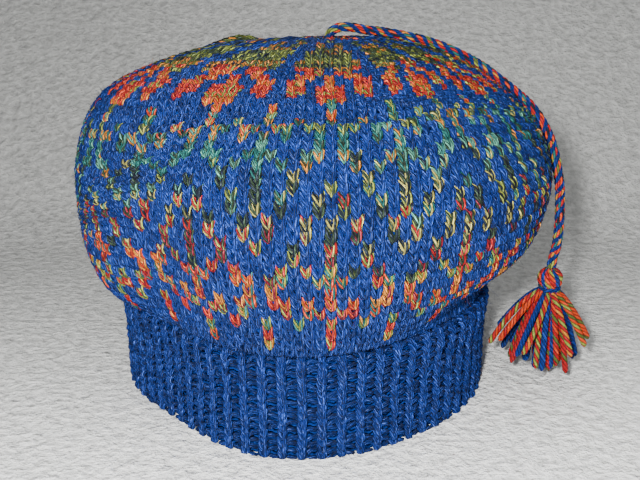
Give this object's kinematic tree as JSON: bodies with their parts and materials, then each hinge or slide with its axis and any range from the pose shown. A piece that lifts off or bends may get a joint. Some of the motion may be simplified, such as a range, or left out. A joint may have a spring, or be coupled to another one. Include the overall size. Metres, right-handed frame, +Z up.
{
  "type": "knitted tam o'shanter hat",
  "caption": "Knitted tam with a ribbed band, a hollow ballooning patterned body, and a twisted cord that ends in a tassel.",
  "frame": {"origin": "on the floor, below the middle of the footprint of the band and body, without the cord and tassel", "axes": "+Z up, the front of the hat towards -Y, the cord and tassel on the +X side"},
  "size_m": [0.2609, 0.2152, 0.1761],
  "materials": {
    "rib_wool": "royal blue ribbed wool knitting",
    "stranded_wool": "royal blue stockinette with a multicolour stranded pattern",
    "cord_wool": "twisted cord of blue and multicolour wool",
    "tassel_wool": "loose strands of blue and multicolour wool"
  },
  "bodies": {
    "root": {"ribbed_band": "rib_wool", "tam_body": "stranded_wool", "twisted_cord": "cord_wool", "tassel": "tassel_wool"}
  },
  "joints": []
}
